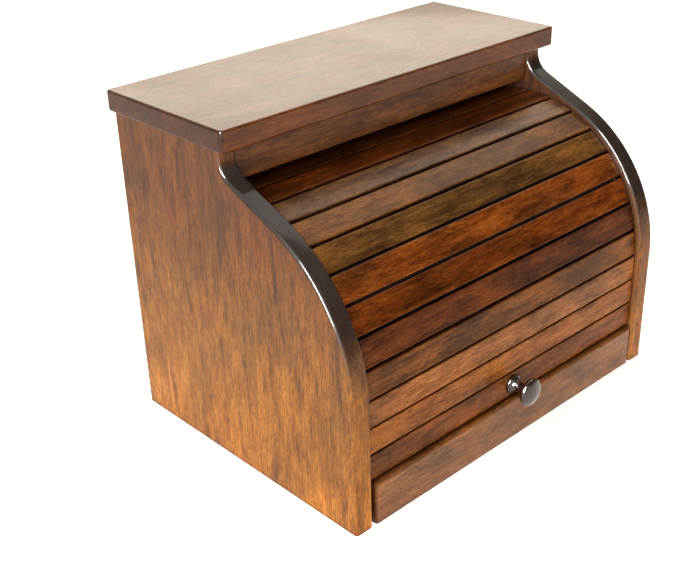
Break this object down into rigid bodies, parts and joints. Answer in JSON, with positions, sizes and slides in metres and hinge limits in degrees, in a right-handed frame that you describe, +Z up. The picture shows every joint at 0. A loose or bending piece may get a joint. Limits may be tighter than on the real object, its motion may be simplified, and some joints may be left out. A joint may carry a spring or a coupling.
{
  "type": "bread box with roll top",
  "caption": "Wooden bread box with ogee-fronted sides, an overhanging flat top and a curved roll-up slatted door with a small turned knob.",
  "frame": {"origin": "middle of the underside of the object's bounding box, on the surface the box stands on", "axes": "+X along the width, +Y from the door to the back, +Z up"},
  "size_m": [0.4154, 0.3176, 0.3175],
  "materials": {
    "side_wood": "glossy lacquer",
    "top_wood": "glossy lacquer",
    "rail_wood": "glossy lacquer",
    "slat_wood": "satin lacquer",
    "back_wood": "satin",
    "dowel_wood": "plain",
    "knob_wood": "glossy lacquer",
    "canvas": "woven",
    "screw_steel": "plated"
  },
  "bodies": {
    "case": {"left_side": "side_wood", "right_side": "side_wood", "top_board": "top_wood", "header_rail": "rail_wood", "front_rail": "rail_wood", "bottom_board": "rail_wood", "back_panel": "back_wood", "back_screws": "screw_steel", "top_dowels": "dowel_wood", "header_dowels": "dowel_wood", "rail_dowels": "dowel_wood"},
    "curtain": {"slat_04": "slat_wood", "slat_05": "slat_wood", "slat_06": "slat_wood", "slat_07": "slat_wood", "slat_08": "slat_wood", "slat_09": "slat_wood", "slat_10": "slat_wood", "slat_11": "slat_wood", "slat_12": "slat_wood", "slat_13": "slat_wood", "tail_slat": "slat_wood", "canvas_main": "canvas"},
    "lower_link_3": {"slat_03": "slat_wood", "canvas_slat_03": "canvas"},
    "lower_link_2": {"slat_02": "slat_wood", "canvas_slat_02": "canvas"},
    "handle_link": {"handle_slat": "slat_wood", "canvas_handle_slat": "canvas", "knob": "knob_wood", "knob_bolt": "screw_steel"}
  },
  "joints": [
    {"name": "door_roll", "type": "hinge", "parent": "case", "child": "curtain", "pos_m": [0, 0.0062, 0.11814], "axis": [-1, 0, 0], "range_deg": [0, 101]},
    {"name": "bend_3", "type": "hinge", "parent": "curtain", "child": "lower_link_3", "pos_m": [0, -0.1248, 0.11814], "axis": [1, 0, 0], "range_deg": [0, 5.7]},
    {"name": "bend_2", "type": "hinge", "parent": "lower_link_3", "child": "lower_link_2", "pos_m": [0, -0.1248, 0.09246], "axis": [1, 0, 0], "range_deg": [0, 11.4]},
    {"name": "bend_1", "type": "hinge", "parent": "lower_link_2", "child": "handle_link", "pos_m": [0, -0.1248, 0.06678], "axis": [1, 0, 0], "range_deg": [0, 11.4]}
  ],
  "couplings": [
    {"joint": "bend_3", "follows": "door_roll", "ratio": 0.055693},
    {"joint": "bend_2", "follows": "door_roll", "ratio": 0.11139},
    {"joint": "bend_1", "follows": "door_roll", "ratio": 0.11139}
  ]
}
